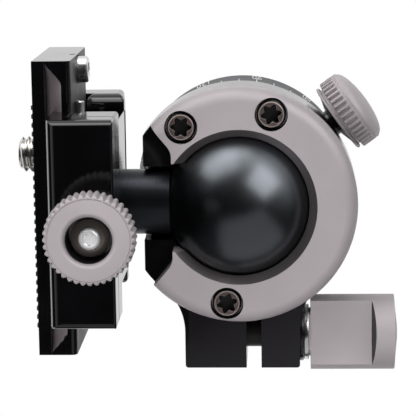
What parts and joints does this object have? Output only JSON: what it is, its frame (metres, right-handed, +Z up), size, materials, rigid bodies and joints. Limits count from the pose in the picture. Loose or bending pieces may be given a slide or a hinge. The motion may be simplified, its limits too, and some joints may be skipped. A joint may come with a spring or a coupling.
{
  "type": "tripod ball head",
  "caption": "Tripod ball head: split socket with a drop notch, pan base with a scale, and a screw-knob clamp on the ball's stem that holds a dovetail camera plate.",
  "frame": {"origin": "centre of the tripod thread on the bottom face of the base", "axes": "+Z up the pan axis, -X along the dropped stem, +Y along the camera plate"},
  "size_m": [0.1008, 0.0872, 0.092],
  "materials": {
    "black_anodised": "satin",
    "grey_anodised": "bead blasted",
    "scale_band": "satin",
    "black_oxide": "satin",
    "stainless": "bright",
    "brass": "turned",
    "bearing_plastic": "matte",
    "rubber_pad": "ribbed"
  },
  "bodies": {
    "base": {"pan_base": "black_anodised", "scale_ring": "scale_band", "tripod_insert": "stainless", "pan_bearing": "bearing_plastic"},
    "socket": {"socket_body": "black_anodised", "retaining_ring": "grey_anodised", "ring_screws": "black_oxide", "ball_seat": "bearing_plastic", "seat_spring": "stainless", "keeper_screws": "stainless", "lock_nut": "stainless", "lock_washer": "black_anodised"},
    "brake": {"brake_shoe": "brass"},
    "pan_grip": {"pan_knob": "grey_anodised", "pan_hub": "black_anodised", "pan_stud": "stainless"},
    "thrust": {"thrust_ring": "stainless"},
    "lock_grip": {"lock_knob": "grey_anodised", "lock_bolt": "black_oxide", "lock_cap": "black_oxide"},
    "ball": {"ball": "black_anodised"},
    "neck": {"stem": "black_anodised", "clamp_base": "black_anodised", "clamp_bolt": "stainless", "guide_pins": "stainless", "jaw_springs": "stainless", "clamp_stud": "stainless", "stop_washer": "black_anodised", "stop_screw": "stainless"},
    "jaw": {"moving_jaw": "black_anodised", "knob_washer": "bearing_plastic"},
    "clamp_grip": {"clamp_knob": "grey_anodised"},
    "plate": {"camera_plate": "black_anodised", "grip_pad": "rubber_pad", "plate_stops": "stainless"},
    "camera_stud": {"camera_screw": "stainless"}
  },
  "joints": [
    {"name": "pan", "type": "hinge", "parent": "base", "child": "socket", "pos_m": [0, 0, 0], "axis": [0, 0, 1], "continuous": true},
    {"name": "brake_slide", "type": "slide", "parent": "socket", "child": "brake", "axis": [0.809, 0.5878, 0], "range_m": [0, 0.0008]},
    {"name": "pan_lock", "type": "hinge", "parent": "brake", "child": "pan_grip", "pos_m": [0, 0, 0.01704], "axis": [0.809, 0.5878, 0], "range_deg": [0, 360]},
    {"name": "thrust_slide", "type": "slide", "parent": "socket", "child": "thrust", "axis": [1, 0, 0], "range_m": [0, 0.00075]},
    {"name": "ball_lock", "type": "hinge", "parent": "thrust", "child": "lock_grip", "pos_m": [0, -0.0372, 0.03197], "axis": [1, 0, 0], "range_deg": [0, 270]},
    {"name": "ball_drop", "type": "hinge", "parent": "socket", "child": "ball", "pos_m": [0, 0, 0.03697], "axis": [0, 1, 0], "range_deg": [0, 110]},
    {"name": "stem_spin", "type": "hinge", "parent": "ball", "child": "neck", "pos_m": [0, 0, 0.03697], "axis": [-1, 0, 0], "range_deg": [-110, 110]},
    {"name": "jaw_slide", "type": "slide", "parent": "neck", "child": "jaw", "axis": [0, 0, 1], "range_m": [0, 0.005]},
    {"name": "clamp_turn", "type": "hinge", "parent": "jaw", "child": "clamp_grip", "pos_m": [-0.035, 0, 0.03697], "axis": [0, 0, 1], "range_deg": [0, 720]},
    {"name": "plate_slide", "type": "slide", "parent": "neck", "child": "plate", "axis": [0, 1, 0], "range_m": [-0.0075, 0.005]},
    {"name": "camera_turn", "type": "hinge", "parent": "plate", "child": "camera_stud", "pos_m": [-0.0425, 0.0131, 0.03697], "axis": [-1, 0, 0], "continuous": true}
  ],
  "couplings": [
    {"joint": "brake_slide", "follows": "pan_lock", "m_per_rad": 0.00012732},
    {"joint": "thrust_slide", "follows": "ball_lock", "m_per_rad": 0.00015915},
    {"joint": "jaw_slide", "follows": "clamp_turn", "m_per_rad": 0.00039789}
  ]
}
